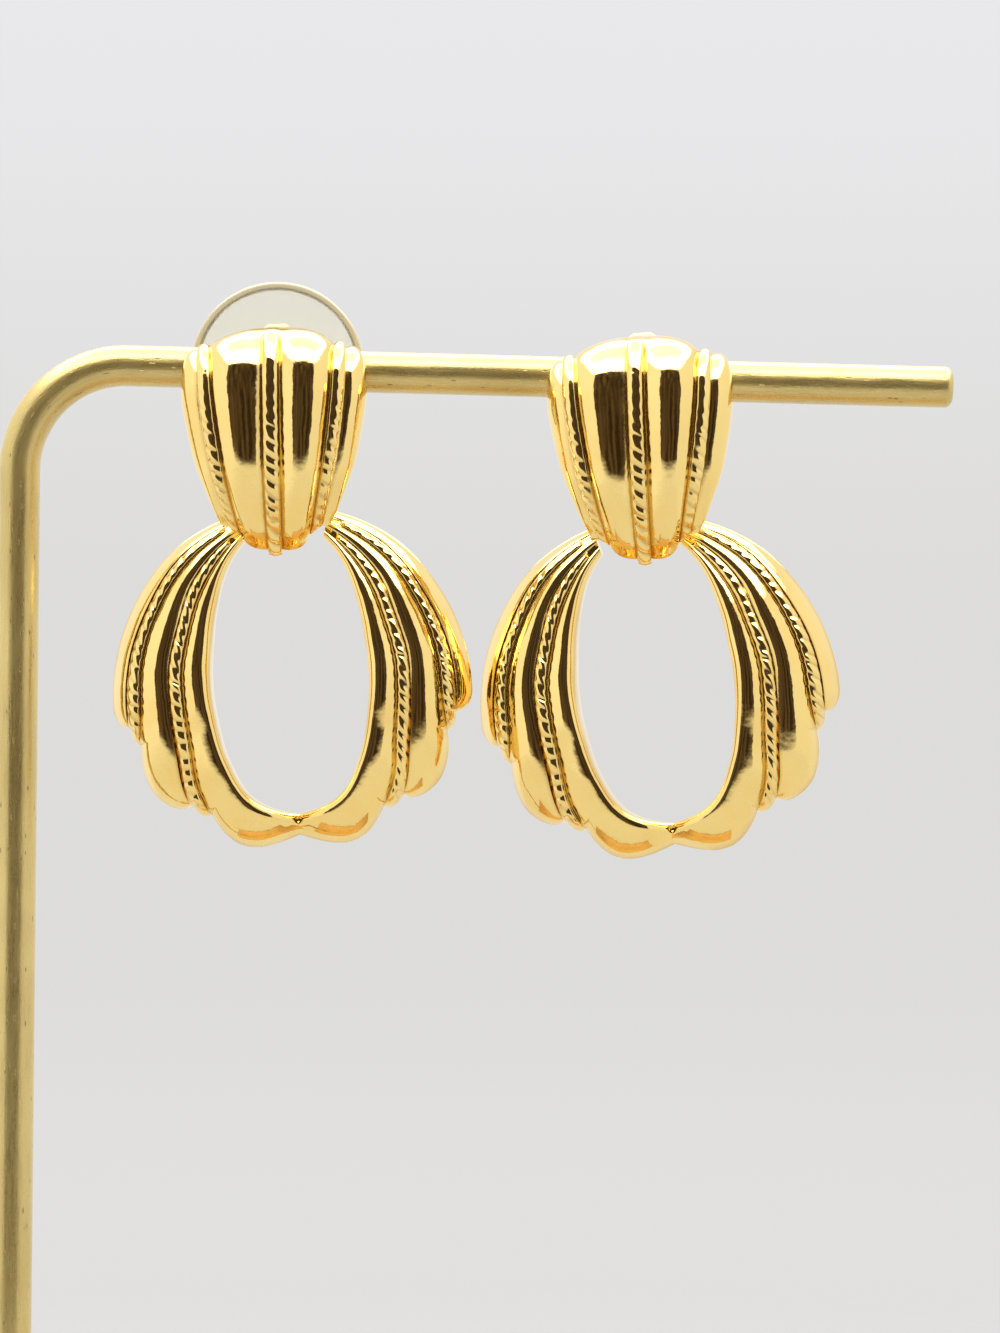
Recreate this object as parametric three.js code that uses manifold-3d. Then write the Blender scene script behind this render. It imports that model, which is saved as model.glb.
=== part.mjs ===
// A pair of gold-plated door knocker earrings hanging from the drilled bar of a plain brass stand.
// Millimetres. +Z is up, the wearer-facing backs look towards +Y and the fronts towards -Y.
import * as THREE from "three";
import { mergeVertices } from "three/addons/utils/BufferGeometryUtils.js";
import Module from "manifold-3d";

const wasm = await Module();
wasm.setup();

const GAP = 0.3;

// Stand: a rectangular plate with one rod that rises, bends over and ends as a free bar, which droops a little.
const BASE = { length: 92, width: 50, thickness: 5, chamfer: 0.6, socketDepth: 3.4 };
const ROD = { radius: 1.5, height: 100, reach: 68, bend: 7.7, droop: 0.9, chamfer: 0.4, sides: 18 };
const ROD_X = -34;

// Each earring's place along the bar, how far it is turned to the viewer's side and how far it leans,
// then how far its drop has slid along the loose hinge and how far it tilts in it.
const EARRINGS = [
  { side: "left", x: 18.6, yaw: -0.5, lean: 2.8, slide: 0.2, tilt: 0.8, disc: true },
  { side: "right", x: 45.4, yaw: -6.5, lean: 4.5, slide: -0.8, tilt: 2.4, disc: false },
];

// Stud: a hollow-backed dome, its lobes and ropes running from the top edge down to a point.
// z is the height at the middle, lift raises the side edges, crown and rim stand forward of the back,
// and rope is how far round from the middle the side ropes run, in degrees.
const STUD = [
  { z: 3.0, half: 5.55, crown: 0.35, rim: 0.0, lift: -1.95, rope: 58 },
  { z: 2.85, half: 5.75, crown: 1.5, rim: 0.0, lift: -1.8, rope: 57 },
  { z: 2.4, half: 6.0, crown: 2.75, rim: 0.0, lift: -1.5, rope: 55 },
  { z: 1.5, half: 6.2, crown: 3.85, rim: 0.0, lift: -1.15, rope: 52 },
  { z: 0.15, half: 6.35, crown: 4.6, rim: 0.0, lift: -0.75, rope: 49.5 },
  { z: -1.6, half: 6.4, crown: 4.95, rim: 0.0, lift: -0.4, rope: 48 },
  { z: -3.6, half: 6.2, crown: 5.05, rim: 0.0, lift: 0.0, rope: 47.5 },
  { z: -5.8, half: 5.85, crown: 4.95, rim: 0.0, lift: 0.4, rope: 47.5 },
  { z: -8.0, half: 5.4, crown: 4.55, rim: 0.3, lift: 0.9, rope: 48 },
  { z: -10.1, half: 4.8, crown: 3.85, rim: 0.9, lift: 1.5, rope: 49 },
  { z: -12.1, half: 4.1, crown: 2.75, rim: 1.4, lift: 2.1, rope: 50 },
  { z: -13.35, half: 3.6, crown: 1.6, rim: 1.4, lift: 2.45, rope: 50 },
];
// flat rounds the section off, from 2 for an ellipse towards a box. heights are the lobes' swells, from left to right.
const STUD_SECTION = { flat: 3, heights: [0.4, 0.5, 0.75, 0.6], steps: 4, topFade: 4, bottomFade: 2.5, faded: 0.4 };
const STUD_ROPES = [
  { side: -1, width: 1.1, top: 1.6, tip: 0.1 },
  { side: 0, width: 1.3, top: 1.9, tip: 0.45 },
  { side: 1, width: 1.1, top: 1.6, tip: 0.1 },
];
const STUD_WALL = 0.75;
const POST = { radius: 0.4, root: -4.4, end: 9.4 };

// Hinge: a short tube soldered inside the stud's hollow, with the drop's cross bar through it.
const HINGE = { z: -11, y: -0.1, bar: 0.45, bore: 0.8, outer: 1.15, length: 2.8, reach: 3.9 };

// Drop: two wings of lobes and ropes that fan out from the hinge round an upright oval.
// Radii are measured from the oval's centre, a row for every 20 degrees from the top to the bottom.
// inner, rope1, middle, rope2 and outer are the far edges of the five bands. crest is the dome's height,
// lean is how far its crest lies in from the opening's edge, in degrees, and shift is how far the lobes'
// own crests have moved from their middles, at 0, to their inner edges, at 1.
const OVAL_Z = -22.8;
const WING_STEP = 20;
const WING = [
  { opening: 12.4, inner: 12.5, rope1: 12.6, middle: 12.7, rope2: 12.75, outer: 12.8, crest: 1.4, lean: 5, shift: 0 },
  { opening: 10.2, inner: 10.85, rope1: 11.3, middle: 11.9, rope2: 12.35, outer: 12.8, crest: 1.9, lean: 5, shift: 0 },
  { opening: 7.8, inner: 9.3, rope1: 10.2, middle: 11.35, rope2: 12.1, outer: 12.85, crest: 2.5, lean: 5, shift: 0.1 },
  { opening: 6.35, inner: 8.15, rope1: 9.1, middle: 10.85, rope2: 11.7, outer: 12.75, crest: 3.1, lean: 5, shift: 0.15 },
  { opening: 5.8, inner: 7.8, rope1: 8.8, middle: 10.8, rope2: 11.8, outer: 12.9, crest: 3.5, lean: 5, shift: 0.15 },
  { opening: 5.76, inner: 7.8, rope1: 8.85, middle: 11.1, rope2: 12.15, outer: 13.2, crest: 3.6, lean: 0, shift: 0.25 },
  { opening: 6.22, inner: 8.55, rope1: 9.75, middle: 12.7, rope2: 12.75, outer: 13.3, crest: 3.3, lean: -8, shift: 0.45 },
  { opening: 7.37, inner: 10.6, rope1: 11.7, middle: 13.2, rope2: 13.2, outer: 13.3, crest: 2.9, lean: -14, shift: 0.6 },
  { opening: 8.95, inner: 12.4, rope1: 12.4, middle: 13.3, rope2: 13.3, outer: 13.3, crest: 2.4, lean: -16, shift: 0.6 },
  { opening: 9.6, inner: 11.15, rope1: 11.2, middle: 11.2, rope2: 11.2, outer: 11.2, crest: 1.9, lean: -16, shift: 0.6 },
];
const WING_START = 17;
const BANDS = [
  { to: "inner", end: 400, round: 10, bulge: 0.24, steps: 5, shift: 0 },
  { to: "rope1", end: 146, round: 7, bulge: 0, steps: 0, shift: 0 },
  { to: "middle", end: 138, round: 14, bulge: 0.24, steps: 4, shift: 0 },
  { to: "rope2", end: 110, round: 6, bulge: 0, steps: 0, shift: 0 },
  { to: "outer", end: 103, round: 8, bulge: 0.3, steps: 3, shift: 1 },
];
const WING_STATIONS = 20;
const HOLLOW_START = 34;
const DROP_BACK = 1.2;
const DROP_WALL = 0.85;
const EDGE_ROUND = 0.6;
const PINCH = { depth: 0.3, reach: 6 };

// Ropes: twisted strands that slant down to the right, given as shares of the rope's width or strand.
const ROPE = { pitch: 0.95, slant: 0.9, proud: 0.72, strand: 0.2, endRound: 0.5, lateStart: 5, shares: [-0.6, 0, 0.6] };

// Butterfly clutch and clear comfort disc, both threaded on the post behind the bar.
const CLUTCH = { height: 7.4, width: 3.1, strip: 0.35, scroll: 0.8, hole: 0.7 };
const DISC = { radius: 6.3, web: 0.8, rim: 1.1, rimWidth: 0.4, hole: 0.75 };

const GOLD = { color: 0xe3b64a, roughness: 0.12, metalness: 1 };
const BRASS = { color: 0xb59a5c, roughness: 0.38, metalness: 1 };
const PLASTIC = { color: 0xe8e3d2, roughness: 0.3, metalness: 0 };

const sin = (degrees) => Math.sin(THREE.MathUtils.degToRad(degrees));
const cos = (degrees) => Math.cos(THREE.MathUtils.degToRad(degrees));
const smooth = (t) => THREE.MathUtils.smoothstep(t, 0, 1);

// A smooth value between the rows of a table, at a row number that need not be whole.
function between(table, column, row) {
  const last = table.length - 1;
  const i = Math.min(Math.max(Math.floor(row), 0), last - 1);
  const t = row - i;
  const b = table[i][column];
  const c = table[i + 1][column];
  const a = i > 0 ? table[i - 1][column] : 2 * b - c;
  const d = i + 2 <= last ? table[i + 2][column] : 2 * c - b;
  return b + 0.5 * t * (c - a + t * (2 * a - 5 * b + 4 * c - d + t * (3 * (b - c) + d - a)));
}

// A manifold solid from a three.js geometry.
function solidOf(geometry) {
  const bare = geometry.clone();
  bare.deleteAttribute("normal");
  bare.deleteAttribute("uv");
  const merged = mergeVertices(bare, 1e-4);
  const vertProperties = merged.attributes.position.array;
  const triVerts = new Uint32Array(merged.index.array);
  return new wasm.Manifold(new wasm.Mesh({ numProp: 3, vertProperties, triVerts }));
}

// A closed solid whose skin is stitched between neighbouring lines that all run the same way.
// Each line is a list of points with keys that rise from 0 to 1, and the last line joins the first.
function skin(lines) {
  const points = [];
  const faces = [];
  const starts = [];
  for (const line of lines) {
    starts.push(points.length);
    points.push(...line.map(({ point }) => point));
  }
  const firsts = [];
  const lasts = [];
  for (let n = 0; n < lines.length; n++) {
    const m = (n + 1) % lines.length;
    const [line, next] = [lines[n], lines[m]];
    const [lineEnd, nextEnd] = [line.length - 1, next.length - 1];
    let i = 0;
    let j = 0;
    while (i < lineEnd || j < nextEnd) {
      const stepLine = j === nextEnd || (i < lineEnd && line[i + 1].key <= next[j + 1].key);
      const corner = stepLine ? starts[n] + i + 1 : starts[m] + j + 1;
      faces.push([starts[n] + i, starts[m] + j, corner]);
      i += stepLine ? 1 : 0;
      j += stepLine ? 0 : 1;
    }
    firsts.push([starts[m], starts[n]]);
    lasts.push([starts[n] + lineEnd, starts[m] + nextEnd]);
  }
  for (const pairs of [firsts, lasts]) {
    const middle = new THREE.Vector3();
    pairs.forEach(([i]) => middle.addScaledVector(points[i], 1 / pairs.length));
    points.push(middle);
    pairs.forEach(([i, j]) => faces.push([i, j, points.length - 1]));
  }
  const geometry = new THREE.BufferGeometry().setFromPoints(points);
  geometry.setIndex(faces.flat());
  const merged = mergeVertices(geometry, 1e-4);
  const corners = merged.index.array;
  const kept = [];
  for (let f = 0; f < corners.length; f += 3) {
    const [i, j, k] = corners.slice(f, f + 3);
    if (i !== j && j !== k && k !== i) {
      kept.push(i, j, k);
    }
  }
  const vertProperties = merged.attributes.position.array;
  const build = (list) =>
    new wasm.Manifold(new wasm.Mesh({ numProp: 3, vertProperties, triVerts: new Uint32Array(list) }));
  const made = build(kept);
  return made.volume() > 0 ? made : build(kept.reverse());
}

// A closed solid through a list of rings with equal counts of points.
function loft(rings) {
  return skin(
    rings[0].map((_, i) => rings.map((ring, k) => ({ key: k / (rings.length - 1), point: ring[i] }))),
  );
}

// A round bar between two points.
function rod(from, to, radius, sides = 16) {
  const along = new THREE.Vector3().subVectors(to, from);
  const geometry = new THREE.CylinderGeometry(radius, radius, along.length(), sides);
  geometry.applyQuaternion(
    new THREE.Quaternion().setFromUnitVectors(new THREE.Vector3(0, 1, 0), along.clone().normalize()),
  );
  geometry.translate(...new THREE.Vector3().addVectors(from, to).multiplyScalar(0.5).toArray());
  return solidOf(geometry);
}

// The stretch of a rope between two places on its line, cut at every strand's crest and valley.
// placeAt gives a point for a place along, a share across from -1 to 1 and a height above the dome.
function ropeLine({ from, to, placeAt, width }, across) {
  const samples = 60;
  const lengths = [0];
  for (let k = 1; k <= samples; k++) {
    const a = placeAt(from + ((to - from) * (k - 1)) / samples, 0, 0);
    const b = placeAt(from + ((to - from) * k) / samples, 0, 0);
    lengths.push(lengths[k - 1] + a.distanceTo(b));
  }
  const total = lengths[samples];
  const placeOf = (length) => {
    const k = Math.max(1, lengths.findIndex((l) => l >= length));
    const t = (length - lengths[k - 1]) / (lengths[k] - lengths[k - 1]);
    return from + ((to - from) * (k - 1 + t)) / samples;
  };
  const halves = 2 * Math.round(total / ROPE.pitch);
  const step = total / halves;
  const line = [];
  for (let k = 0; k <= halves; k++) {
    const shifted = k === 0 || k === halves ? k * step : (k + ROPE.slant * across) * step;
    const along = THREE.MathUtils.clamp(shifted, 0, total);
    const fromEnd = Math.min(along, total - along) / ROPE.endRound;
    const closing = Math.sqrt(Math.max(1 - Math.max(1 - fromEnd, 0) ** 2, 0));
    const place = placeOf(along);
    const proud = ROPE.proud + (k % 2 ? ROPE.strand : 0);
    const height = (width(place) / 2) * Math.sqrt(1 - across * across) * proud;
    line.push({ key: placeOf(k * step), point: placeAt(place, across, height * closing) });
  }
  return line;
}

// The smooth dome of the stud, at a table row and an angle across from -90 (left) to 90 (right).
function studPoint(row, across, shrink = { x: 1, y: 1, z: 1 }) {
  const middle = -5;
  const rim = between(STUD, "rim", row);
  const section = Math.max(1 - Math.abs(sin(across)) ** STUD_SECTION.flat, 0) ** (1 / STUD_SECTION.flat);
  const depth = rim + (between(STUD, "crown", row) - rim) * section;
  const z = between(STUD, "z", row) + between(STUD, "lift", row) * Math.abs(sin(across)) ** 1.4;
  return new THREE.Vector3(
    between(STUD, "half", row) * sin(across) * shrink.x,
    -depth * shrink.y,
    middle + (z - middle) * shrink.z,
  );
}

// A point raised above the dome along its own facing.
function studRaised(row, across, height) {
  const step = 0.02;
  const side = studPoint(row, across + 1).sub(studPoint(row, across - 1));
  const down = studPoint(row + step, across).sub(studPoint(row - step, across));
  return studPoint(row, across).addScaledVector(side.cross(down).normalize(), -height);
}

// The middle and the half width of a rope on the stud, in degrees across.
function ropePlace({ side, width }, row) {
  const at = side * between(STUD, "rope", row);
  const narrow = THREE.MathUtils.radToDeg(Math.asin(width / 2 / between(STUD, "half", row)));
  return { at, spread: narrow / Math.max(cos(at), 0.75) };
}

// The share of their full swell that the stud's lobes have, which falls towards the top and bottom edges.
function swelling(row) {
  const { topFade, bottomFade, faded } = STUD_SECTION;
  const share = Math.min(smooth(row / topFade), smooth((STUD.length - 1 - row) / bottomFade));
  return faded + (1 - faded) * share;
}

function studBody() {
  const last = STUD.length - 1;
  const stations = STUD.map((_, row) => row);
  const lines = [];
  for (let lobe = 0; lobe <= STUD_ROPES.length; lobe++) {
    const before = STUD_ROPES[lobe - 1];
    const after = STUD_ROPES[lobe];
    for (let i = 0; i <= STUD_SECTION.steps; i++) {
      const s = i / STUD_SECTION.steps;
      const swell = STUD_SECTION.heights[lobe] * (1 - (2 * s - 1) ** 2);
      lines.push(
        stations.map((row) => {
          const [left, right] = [before, after].map((rope) => rope && ropePlace(rope, row));
          const from = left ? left.at + left.spread : -90;
          const to = right ? right.at - right.spread : 90;
          return { key: row / last, point: studRaised(row, from + (to - from) * s, swell * swelling(row)) };
        }),
      );
    }
    if (after) {
      const place = (row, share, height) => {
        const { at, spread } = ropePlace(after, row);
        return studRaised(row, at + share * spread, height);
      };
      const run = { from: after.top, to: last - 0.1, placeAt: place, width: () => after.width };
      for (const share of ROPE.shares) {
        const tip = place(last, share, 0);
        tip.z -= after.tip;
        lines.push([
          { key: 0, point: place(0, share, 0) },
          ...ropeLine(run, share).map(({ key, point }) => ({ key: key / last, point })),
          { key: 1, point: tip },
        ]);
      }
    }
  }
  return skin(lines);
}

function studHollow() {
  const shrink = {
    x: 1 - STUD_WALL / 6.7,
    y: 1 - STUD_WALL / 5,
    z: 1 - STUD_WALL / 8,
  };
  const behind = 1.5;
  const rings = STUD.map((_, row) => {
    const ring = [];
    for (let i = 0; i <= 8; i++) {
      ring.push(studPoint(row, -90 + 22.5 * i, shrink));
    }
    ring.push(new THREE.Vector3(ring[8].x, behind, ring[8].z));
    ring.push(new THREE.Vector3(ring[0].x, behind, ring[0].z));
    return ring;
  });
  return loft(rings);
}

function stud() {
  const { z, y, bore, outer, length } = HINGE;
  const left = new THREE.Vector3(-length / 2, y, z);
  const right = new THREE.Vector3(length / 2, y, z);
  const web = new THREE.BoxGeometry(1.6, 2, 0.9);
  web.translate(0, y - 1.8, z);
  const root = new THREE.Vector3(0, POST.root, 0);
  const body = studBody()
    .subtract(studHollow())
    .add(rod(root, new THREE.Vector3(0, POST.end, 0), POST.radius, 12))
    .add(solidOf(web))
    .add(rod(left, right, outer));
  left.x -= 1;
  right.x += 1;
  return body.subtract(rod(left, right, bore));
}

// The radii of the bands' edges at an angle round the oval, each band closing towards its rounded end.
function wingEdges(angle) {
  const turned = Math.min(angle, 360 - angle);
  const row = turned / WING_STEP;
  const edges = [between(WING, "opening", row)];
  let before = "opening";
  for (const { to, end, round } of BANDS) {
    const past = THREE.MathUtils.clamp((turned - end + round) / round, 0, 1);
    const width = between(WING, to, row) - between(WING, before, row);
    edges.push(edges.at(-1) + width * Math.sqrt(1 - past ** 2));
    before = to;
  }
  return edges;
}

// A point over the drop's flat back, raised above the smooth dome of the wing.
function wingPoint(angle, radius, height) {
  const turned = Math.min(angle, 360 - angle);
  const row = turned / WING_STEP;
  const opening = between(WING, "opening", row);
  const reach = between(WING, "outer", row);
  const spread = (reach - opening) / (1 + sin(between(WING, "lean", row)));
  const s = THREE.MathUtils.clamp((radius - reach + spread) / spread, -1, 1);
  const pinch = 1 - PINCH.depth * Math.exp(-(((180 - turned) / PINCH.reach) ** 2));
  const dome = between(WING, "crest", row) * pinch * Math.sqrt(Math.max(1 - s * s, 0.03));
  const near = THREE.MathUtils.clamp(EDGE_ROUND - (radius - opening), 0, EDGE_ROUND);
  const rounded = EDGE_ROUND - Math.sqrt(EDGE_ROUND ** 2 - near ** 2);
  const depth = height === null ? 0 : dome + height - rounded;
  return new THREE.Vector3(radius * sin(angle), DROP_BACK - depth, OVAL_Z + radius * cos(angle));
}

// The angles at which the smooth lines have points: evenly spaced, with more at each band's end.
function wingStations() {
  const half = [];
  for (let k = 0; k < WING_STATIONS; k++) {
    half.push(WING_START + ((180 - WING_START) * k) / WING_STATIONS);
  }
  for (const { end, round } of BANDS) {
    half.push(...[0, 0.55, 0.9, 1].map((share) => end - round * (1 - share)));
  }
  const sorted = half.filter((angle) => angle < 179).sort((a, b) => a - b);
  const spaced = sorted.filter((angle, k) => k === 0 || angle - sorted[k - 1] > 1);
  return [...spaced, 180, ...spaced.map((angle) => 360 - angle).reverse()];
}

function dropBody() {
  const stations = wingStations();
  const key = (angle) => (angle - WING_START) / (360 - 2 * WING_START);
  const lines = [];
  const along = (placeOf) => stations.map((angle) => ({ key: key(angle), point: placeOf(angle) }));
  lines.push(along((angle) => wingPoint(angle, wingEdges(angle)[0], null)));
  BANDS.forEach(({ bulge, steps, end, round, shift }, band) => {
    const radiusAt = (angle, share) => {
      const edges = wingEdges(angle);
      return edges[band] + ((edges[band + 1] - edges[band]) * (1 + share)) / 2;
    };
    const widthAt = (angle) => wingEdges(angle)[band + 1] - wingEdges(angle)[band];
    if (bulge) {
      for (let i = 0; i <= steps; i++) {
        const share = (2 * i) / steps - 1;
        const swellAt = (angle) => {
          const turned = Math.min(angle, 360 - angle);
          const moved = Math.max(between(WING, "shift", turned / WING_STEP), shift);
          return bulge * widthAt(angle) * (1 - ((share + moved) / (1 + moved)) ** 2);
        };
        lines.push(along((angle) => wingPoint(angle, radiusAt(angle, share), swellAt(angle))));
      }
      return;
    }
    const placeAt = (angle, share, height) => wingPoint(angle, radiusAt(angle, share), height);
    const begin = WING_START + ROPE.lateStart;
    const stop = end - round / 4;
    const runs = [
      { from: begin, to: stop, placeAt, width: widthAt },
      { from: 360 - stop, to: 360 - begin, placeAt, width: widthAt },
    ];
    for (const share of ROPE.shares) {
      const plain = (low, high) =>
        stations
          .filter((angle) => angle > low && angle < high)
          .map((angle) => ({ key: key(angle), point: placeAt(angle, share, 0) }));
      const twisted = (run) =>
        ropeLine(run, share).map((item) => ({ key: key(item.key), point: item.point }));
      lines.push([
        ...plain(0, begin - 0.01),
        ...twisted(runs[0]),
        ...plain(stop + 0.01, 360 - stop - 0.01),
        ...twisted(runs[1]),
        ...plain(360 - begin + 0.01, 360),
      ]);
    }
  });
  lines.push(along((angle) => wingPoint(angle, wingEdges(angle).at(-1), null)));
  return skin(lines);
}

// The shallow hollow in the drop's back, which follows the wing inside its wall.
function dropHollow() {
  const rings = [];
  const stations = 28;
  for (let k = 0; k <= stations; k++) {
    const angle = HOLLOW_START + ((360 - 2 * HOLLOW_START) * k) / stations;
    const edges = wingEdges(angle);
    const near = edges[0] + DROP_WALL;
    const far = Math.max(edges.at(-1) - DROP_WALL, near + 0.3);
    const ring = [];
    for (let i = 0; i <= 2; i++) {
      const radius = near + ((far - near) * i) / 2;
      const point = wingPoint(angle, radius, 0);
      point.y = Math.min(point.y + DROP_WALL, DROP_BACK - 0.3);
      ring.push(point);
    }
    for (const radius of [far, near]) {
      const point = wingPoint(angle, radius, null);
      point.y += 0.5;
      ring.push(point);
    }
    rings.push(ring);
  }
  return loft(rings);
}

function drop() {
  const { z, y, bar } = HINGE;
  const left = new THREE.Vector3(-HINGE.reach, y, z);
  const right = new THREE.Vector3(HINGE.reach, y, z);
  return dropBody().subtract(dropHollow()).add(rod(left, right, bar, 12));
}

// A flat strip of metal bent along a line, seen from its side.
function stripShape(line, thickness) {
  const offset = (sign) =>
    line.map((p, i) => {
      const before = line[Math.max(i - 1, 0)];
      const after = line[Math.min(i + 1, line.length - 1)];
      const along = new THREE.Vector2().subVectors(after, before).normalize();
      const out = new THREE.Vector2(-along.y, along.x).multiplyScalar((sign * thickness) / 2);
      return p.clone().add(out);
    });
  return new THREE.Shape([...offset(1), ...offset(-1).reverse()]);
}

// A butterfly clutch: a flat plate on the post whose two ends curl back as scrolls.
function clutch() {
  const { height, width, strip, scroll, hole } = CLUTCH;
  const reach = height / 2 - scroll - strip / 2;
  const line = [];
  for (let i = 8; i >= 0; i--) {
    const turn = -90 + 33 * i;
    line.push(new THREE.Vector2(-reach - scroll * cos(turn), scroll + scroll * sin(turn)));
  }
  for (let i = 0; i <= 8; i++) {
    const turn = -90 + 33 * i;
    line.push(new THREE.Vector2(reach + scroll * cos(turn), scroll + scroll * sin(turn)));
  }
  const curled = new THREE.ExtrudeGeometry(stripShape(line, strip), {
    depth: width,
    bevelEnabled: false,
  });
  curled.translate(0, strip / 2, -width / 2);
  curled.applyMatrix4(
    new THREE.Matrix4().makeBasis(
      new THREE.Vector3(0, 0, 1),
      new THREE.Vector3(0, 1, 0),
      new THREE.Vector3(-1, 0, 0),
    ),
  );
  const outline = new THREE.CylinderGeometry(width / 2, width / 2, 8, 20);
  const ends = [-1, 1].map((sign) =>
    solidOf(outline.clone().translate(0, 0, sign * (height / 2 - width / 2))),
  );
  const middle = solidOf(new THREE.BoxGeometry(width, 8, height - width));
  const seen = ends[0].add(ends[1]).add(middle);
  const bore = rod(new THREE.Vector3(0, -2, 0), new THREE.Vector3(0, 6, 0), hole, 12);
  return solidOf(curled).intersect(seen).subtract(bore);
}

function disc() {
  const { radius, web, rim, rimWidth, hole } = DISC;
  const inner = radius - rimWidth;
  const corners = [
    [hole, 0],
    [radius - 0.2, 0],
    [radius, 0.2],
    [radius, rim - 0.2],
    [radius - 0.2, rim],
    [inner, rim],
    [inner - 0.25, web],
    [hole, web],
    [hole, 0],
  ];
  const profile = corners.map(([x, y]) => new THREE.Vector2(x, y));
  return solidOf(new THREE.LatheGeometry(profile, 32));
}

// The middle of the drooping bar, at a distance along from the rod's upright.
function barPoint(x) {
  return new THREE.Vector3(ROD_X + x, 0, ROD.height - (x - ROD.bend) * Math.tan(THREE.MathUtils.degToRad(ROD.droop)));
}

// The stand's rod, its lower end in the base and its bar drilled for each post.
function standRod() {
  const { radius, height, reach, bend, droop, chamfer, sides } = ROD;
  const foot = BASE.thickness - BASE.socketDepth + GAP;
  const over = 90 + droop;
  const line = [
    { x: 0, z: foot, turn: 0, size: radius - chamfer },
    { x: 0, z: foot + chamfer, turn: 0, size: radius },
  ];
  for (let i = 0; i <= 8; i++) {
    const turn = (over * i) / 8;
    line.push({
      x: bend - bend * cos(turn),
      z: height - bend + bend * sin(turn),
      turn,
      size: radius,
    });
  }
  line.push({ x: reach - chamfer, z: barPoint(reach - chamfer).z, turn: over, size: radius });
  line.push({ x: reach, z: barPoint(reach).z, turn: over, size: radius - chamfer });
  const rings = line.map(({ x, z, turn, size }) => {
    const ring = [];
    for (let i = 0; i < sides; i++) {
      const around = (360 * i) / sides;
      ring.push(
        new THREE.Vector3(
          ROD_X + x + size * cos(around) * cos(turn),
          size * sin(around),
          z - size * cos(around) * sin(turn),
        ),
      );
    }
    return ring;
  });
  let bar = loft(rings);
  for (const { x, yaw } of EARRINGS) {
    const along = new THREE.Vector3(-sin(yaw), cos(yaw), 0).multiplyScalar(4);
    const centre = barPoint(x);
    const from = centre.clone().sub(along);
    const to = centre.clone().add(along);
    bar = bar.subtract(rod(from, to, POST.radius + GAP, 12));
  }
  return bar;
}

function standBase() {
  const { length, width, thickness, chamfer, socketDepth } = BASE;
  const plan = new THREE.Shape();
  const x = length / 2 - chamfer;
  const y = width / 2 - chamfer;
  plan.moveTo(-x, -y);
  plan.lineTo(x, -y);
  plan.lineTo(x, y);
  plan.lineTo(-x, y);
  const plate = new THREE.ExtrudeGeometry(plan, {
    depth: thickness - 2 * chamfer,
    bevelThickness: chamfer,
    bevelSize: chamfer,
    bevelSegments: 1,
  });
  plate.translate(0, 0, chamfer);
  const socket = rod(
    new THREE.Vector3(ROD_X, 0, thickness - socketDepth),
    new THREE.Vector3(ROD_X, 0, thickness + 1),
    ROD.radius + GAP,
    24,
  );
  return solidOf(plate).subtract(socket);
}

function mesh(name, solid, { color, roughness, metalness }) {
  const made = solid.getMesh();
  const geometry = new THREE.BufferGeometry();
  geometry.setAttribute("position", new THREE.BufferAttribute(made.vertProperties, made.numProp));
  geometry.setIndex(new THREE.BufferAttribute(made.triVerts, 1));
  geometry.computeVertexNormals();
  const node = new THREE.Mesh(
    geometry,
    new THREE.MeshStandardMaterial({ color, roughness, metalness }),
  );
  node.name = name;
  return node;
}

const group = new THREE.Group();
group.add(mesh("stand_base", standBase(), BRASS));
group.add(mesh("stand_rod", standRod(), BRASS));

for (const { side, x, yaw, lean, slide, tilt, disc: withDisc } of EARRINGS) {
  const turned = Math.abs(sin(yaw));
  const standoff = ROD.radius + GAP + STUD[5].half * turned;
  const earring = new THREE.Group();
  earring.position.copy(barPoint(x));
  earring.rotation.set(0, THREE.MathUtils.degToRad(-lean), THREE.MathUtils.degToRad(yaw), "ZYX");
  const hung = new THREE.Group();
  hung.position.y = -standoff;
  earring.add(hung);
  hung.add(mesh(side + "_stud", stud(), GOLD));
  const hinged = new THREE.Group();
  hinged.position.set(slide, HINGE.y, HINGE.z);
  hinged.rotation.y = THREE.MathUtils.degToRad(-tilt);
  hung.add(hinged);
  const swinging = mesh(side + "_drop", drop(), GOLD);
  swinging.position.set(0, -HINGE.y, -HINGE.z);
  hinged.add(swinging);
  let behind = ROD.radius + GAP + (withDisc ? DISC.radius : CLUTCH.width / 2) * turned;
  if (withDisc) {
    const plastic = mesh(side + "_clutch_disc", disc(), PLASTIC);
    plastic.position.y = behind;
    earring.add(plastic);
    behind += DISC.rim + GAP;
  }
  const nut = mesh(side + "_clutch", clutch(), GOLD);
  nut.position.y = behind;
  earring.add(nut);
  group.add(earring);
}

export default group;
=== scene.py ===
"""A pair of door knocker earrings on a brass bar stand: fine meshes, materials, light and camera."""
import math

import bmesh
import bpy
import numpy as np
from mathutils import Matrix, Vector


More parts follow.
